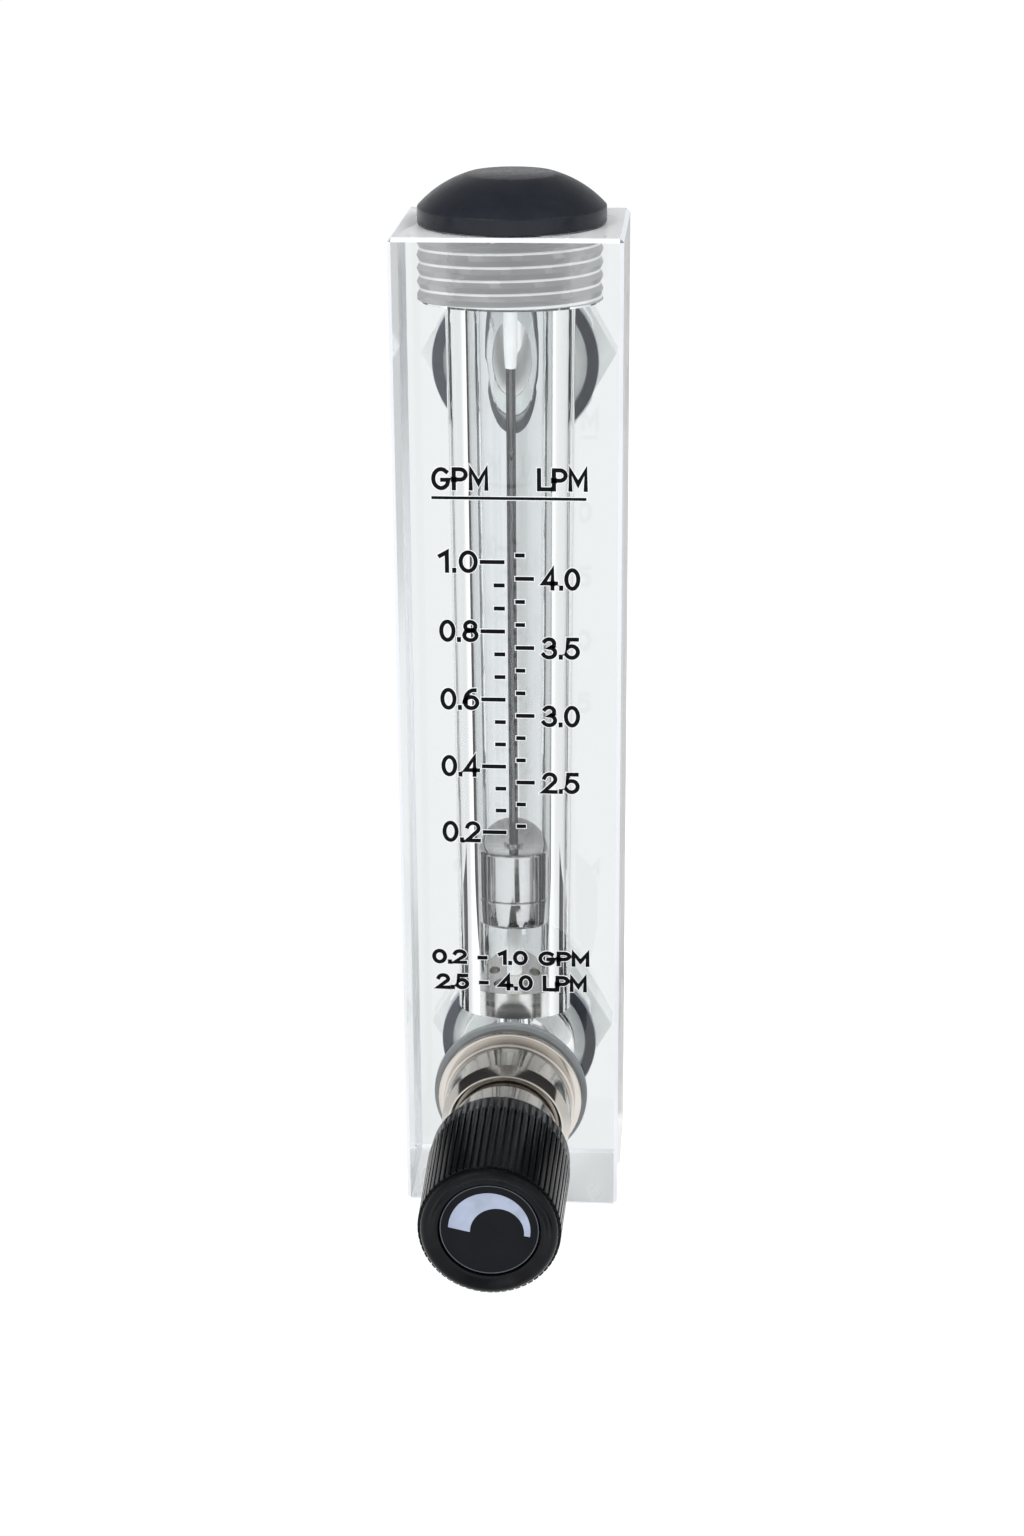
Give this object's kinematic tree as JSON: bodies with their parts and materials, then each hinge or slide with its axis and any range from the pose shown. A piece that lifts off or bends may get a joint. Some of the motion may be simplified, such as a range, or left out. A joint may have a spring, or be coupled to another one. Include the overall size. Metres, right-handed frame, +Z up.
{
  "type": "rotameter",
  "caption": "Panel flow meter: clear acrylic block with a tapered bore and a steel float on a guide rod, a needle valve with a ribbed knob in front, threaded ports behind.",
  "frame": {"origin": "centre of the block's bottom face", "axes": "+Z up along the bore, -Y out of the front face that carries the scale and the valve, +Y out of the rear face that carries the ports, +X to the right of someone who reads the scale"},
  "size_m": [0.035, 0.1026, 0.1674],
  "materials": {
    "clear_acrylic": "clear cast acrylic, polished outside and in the bore",
    "black_cap": "black moulded plastic, satin gloss",
    "silicone": "grey translucent silicone",
    "polished_steel": "turned and polished stainless steel",
    "nickel": "brass turned and nickel plated, bright with a warm tint",
    "white_ptfe": "white PTFE",
    "black_rubber": "black nitrile rubber",
    "knob_black": "black moulded plastic, satin",
    "disc_black": "black plastic disc, smooth",
    "port_natural": "natural white moulded plastic",
    "screw_steel": "blackened steel"
  },
  "bodies": {
    "housing": {"block": "clear_acrylic", "top_plug": "clear_acrylic", "plug_oring": "silicone", "dome_cap": "black_cap", "guide_rod": "polished_steel", "rod_seat": "nickel", "lower_stop": "white_ptfe", "upper_stop": "white_ptfe", "valve_bonnet": "nickel", "bonnet_gasket": "silicone", "gland_nut": "nickel", "gland_packing": "white_ptfe", "valve_seat": "nickel", "outlet_gasket": "black_rubber", "outlet_connector": "port_natural", "outlet_nut": "port_natural", "inlet_gasket": "black_rubber", "inlet_connector": "port_natural", "inlet_nut": "port_natural"},
    "float": {"float_body": "polished_steel", "float_base": "polished_steel"},
    "stem_ring": {"stem_oring": "black_rubber"},
    "knob": {"valve_stem": "polished_steel", "knob": "knob_black", "knob_disc": "disc_black", "set_screw": "screw_steel"}
  },
  "joints": [
    {"name": "float_slide", "type": "slide", "parent": "housing", "child": "float", "axis": [0, 0, 1], "range_m": [0, 0.077]},
    {"name": "stem_travel", "type": "slide", "parent": "housing", "child": "stem_ring", "axis": [0, -1, 0], "range_m": [0, 0.0035]},
    {"name": "knob_turn", "type": "hinge", "parent": "stem_ring", "child": "knob", "pos_m": [0, -0.0378, 0.0208], "axis": [0, -1, 0], "range_deg": [0, 1080]}
  ],
  "couplings": [
    {"joint": "stem_travel", "follows": "knob_turn", "m_per_rad": 0.00015915}
  ]
}
